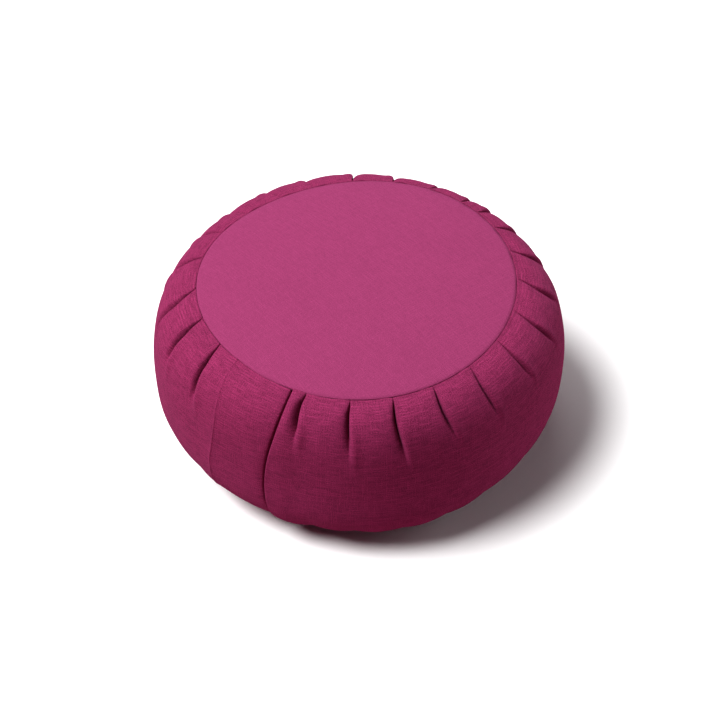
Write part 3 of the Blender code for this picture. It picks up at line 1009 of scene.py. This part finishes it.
class ZafuBottomPanel(bpy.types.Operator):
    """Add the round bottom panel, flat where the cushion stands"""
    bl_idname = "zafu.bottom_panel"
    bl_label = "Bottom panel"

    def execute(self, context):
        scene = context.scene
        form, cloth = scene.zafu_form, scene.zafu_cloth
        # The bottom panel takes the band's darker, shaded copy of the colour: painted shade
        piece = place_piece(
            panel_mesh("bottom_panel_cloth", form, form.foot_seam_radius,
                       lambda part: foot_face(form, part), -1.0, FOOT_WEAVE_TURN),
            cotton("bottom panel cotton", cloth, cloth.band_shaded_colour, cloth.panel_contrast,
                   cloth.panel_slub, PANEL_LEAD),
            "bottom_panel")
        return {"FINISHED"}


# Camera, the floor with the sheet below it, and the wide light high at the back
CAMERA_PLACE = (-0.0002, -0.8859, 0.9594)
CAMERA_AIM = (-0.0002, 0.0921, -0.0310)
FLOOR_HALF = 4.0
FLOOR_DROP = 0.0003
BOUNCE_DROP = 0.0010
TOP_SIZE = math.radians(40.0)
TOP_HEIGHT = math.radians(62.0)
TOP_TURN = math.radians(115.0)


def aimed(data, name, place, aim):
    """Lamp or camera at a place, turned towards a point."""
    made = bpy.data.objects.new(name, data)
    bpy.context.scene.collection.objects.link(made)
    made.location = place
    made.rotation_mode = "QUATERNION"
    made.rotation_quaternion = (Vector(aim) - Vector(place)).to_track_quat("-Z", "Y")
    return made


def far_light(name, strength, size, height, turn):
    """Soft light far away, at a height above the floor and a turn around the cushion."""
    lamp = bpy.data.lights.new(name, "SUN")
    lamp.energy = strength
    lamp.angle = size
    across = math.cos(height)
    place = (across * math.cos(turn), across * math.sin(turn), math.sin(height))
    return aimed(lamp, name, place, (0.0, 0.0, 0.0))


def ground(name, drop, tone):
    """Square sheet of the studio floor."""
    mesh = bpy.data.meshes.new(name)
    corners = [(x * FLOOR_HALF, y * FLOOR_HALF, -drop)
               for x, y in ((-1.0, -1.0), (1.0, -1.0), (1.0, 1.0), (-1.0, 1.0))]
    mesh.from_pydata(corners, [], [(0, 1, 2, 3)])
    mesh.materials.append(plain(name, tone))
    sheet = bpy.data.objects.new(name, mesh)
    bpy.context.scene.collection.objects.link(sheet)
    return sheet


class ZafuStageSet(bpy.types.Operator):
    """Add the pale floor, the soft studio light and the camera"""
    bl_idname = "zafu.stage"
    bl_label = "Stage"

    def execute(self, context):
        scene = context.scene
        stage = scene.zafu_stage
        floor = ground("floor", FLOOR_DROP, stage.floor_colour)
        floor.visible_diffuse = False
        floor.visible_glossy = False
        floor.visible_shadow = False
        bounce = ground("floor_bounce", BOUNCE_DROP, stage.bounce_colour)
        bounce.visible_camera = False
        far_light("key light", stage.key_strength, stage.key_size, stage.key_height,
                  stage.key_turn)
        far_light("top light", stage.top_strength, TOP_SIZE, TOP_HEIGHT, TOP_TURN)
        far_light("side light", stage.side_strength, stage.side_size, stage.side_height,
                  stage.side_turn)
        world = bpy.data.worlds.new("studio")
        world.use_nodes = True
        world.node_tree.nodes["Background"].inputs["Color"].default_value = (1.0, 1.0, 1.0, 1.0)
        world.node_tree.nodes["Background"].inputs["Strength"].default_value = stage.fill_strength
        scene.world = world
        scene.view_settings.view_transform = "Standard"
        scene.view_settings.look = "High Contrast"
        camera = bpy.data.cameras.new("camera")
        camera.angle = stage.view_angle
        scene.camera = aimed(camera, "camera", CAMERA_PLACE, CAMERA_AIM)
        return {"FINISHED"}


class ZafuPanel(bpy.types.Panel):
    """Sizes, colours and pieces of the cushion"""
    bl_idname = "VIEW3D_PT_zafu"
    bl_label = "Zafu"
    bl_space_type = "VIEW_3D"
    bl_region_type = "UI"
    bl_category = "Zafu"

    def draw(self, context):
        for kind, name in SETTINGS:
            group = getattr(context.scene, name)
            box = self.layout.box()
            box.label(text=kind.__doc__)
            for setting in kind.__annotations__:
                box.prop(group, setting)
        for operator in OPERATORS:
            self.layout.operator(operator.bl_idname)


SETTINGS = ((ZafuForm, "zafu_form"), (ZafuPleats, "zafu_pleats"), (ZafuCloth, "zafu_cloth"),
            (ZafuStage, "zafu_stage"))
OPERATORS = (ZafuSideBand, ZafuTopPanel, ZafuBottomPanel, ZafuStageSet)


def register():
    for kind, name in SETTINGS:
        bpy.utils.register_class(kind)
        setattr(bpy.types.Scene, name, bpy.props.PointerProperty(type=kind))
    for kind in (*OPERATORS, ZafuPanel):
        bpy.utils.register_class(kind)


def unregister():
    for kind in (*OPERATORS, ZafuPanel):
        bpy.utils.unregister_class(kind)
    for kind, name in SETTINGS:
        delattr(bpy.types.Scene, name)
        bpy.utils.unregister_class(kind)


def main():
    register()
    bpy.ops.zafu.side_band()
    bpy.ops.zafu.top_panel()
    bpy.ops.zafu.bottom_panel()
    bpy.ops.zafu.stage()


if __name__ == "__main__":
    main()
